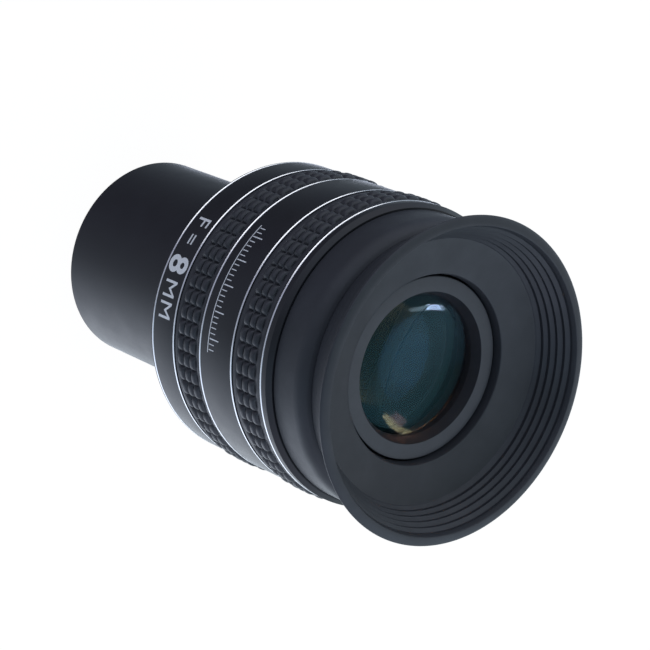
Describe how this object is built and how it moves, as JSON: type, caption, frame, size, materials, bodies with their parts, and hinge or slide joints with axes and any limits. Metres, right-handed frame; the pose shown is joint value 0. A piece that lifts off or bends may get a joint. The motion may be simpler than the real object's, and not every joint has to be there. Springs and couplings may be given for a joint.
{
  "type": "telescope eyepiece",
  "caption": "Telescope eyepiece with a 1.25-inch nosepiece barrel, ribbed rubber grips, multi-lens optics and a rubber eyecup that rises as it is twisted.",
  "frame": {"origin": "centre of the open end of the nosepiece barrel, the end that goes into the telescope and the face the eyepiece stands on", "axes": "+Z along the optical axis from the telescope side to the eye side; +X and +Y are square to it, and the printed focal length faces -Y"},
  "size_m": [0.0482, 0.0482, 0.0764],
  "materials": {
    "anodised_black": "satin",
    "barrel_black": "satin",
    "grip_rubber": "satin",
    "cup_rubber": "matte",
    "retainer_black": "satin",
    "inner_black": "matte",
    "bare_aluminium": "satin",
    "steel_black": "satin",
    "pin_brass": "polished",
    "coated_glass": "gloss"
  },
  "bodies": {
    "root": {"outer_body": "anodised_black", "nosepiece_barrel": "barrel_black", "lower_grip_ring": "grip_rubber", "upper_grip_ring": "grip_rubber", "helix_guide_tube": "bare_aluminium", "grub_screw_1": "steel_black", "grub_screw_2": "steel_black", "grub_screw_3": "steel_black", "upper_lens_cell": "inner_black", "field_stop_ring": "inner_black", "collector_lens": "coated_glass", "front_spacer_ring": "inner_black", "doublet_flint_lens": "coated_glass", "doublet_crown_lens": "coated_glass", "rear_spacer_ring": "inner_black", "eye_lens": "coated_glass", "eye_lens_retainer": "retainer_black", "barrel_lens_cell": "inner_black", "barrel_negative_lens": "coated_glass", "barrel_meniscus_lens": "coated_glass", "barrel_retaining_ring": "inner_black", "barrel_baffle_ring": "inner_black"},
    "glide": {"friction_ring": "grip_rubber"},
    "guard": {"twist_sleeve": "anodised_black", "rubber_eyecup": "cup_rubber", "guide_pin_1": "pin_brass", "guide_pin_2": "pin_brass", "guide_pin_3": "pin_brass"}
  },
  "joints": [
    {"name": "guard_lift", "type": "slide", "parent": "root", "child": "glide", "axis": [0, 0, 1], "range_m": [0, 0.008]},
    {"name": "guard_twist", "type": "hinge", "parent": "glide", "child": "guard", "pos_m": [0, 0, 0.0567], "axis": [0, 0, 1], "range_deg": [0, 105]}
  ],
  "couplings": [
    {"joint": "guard_lift", "follows": "guard_twist", "m_per_rad": 0.0043654}
  ]
}
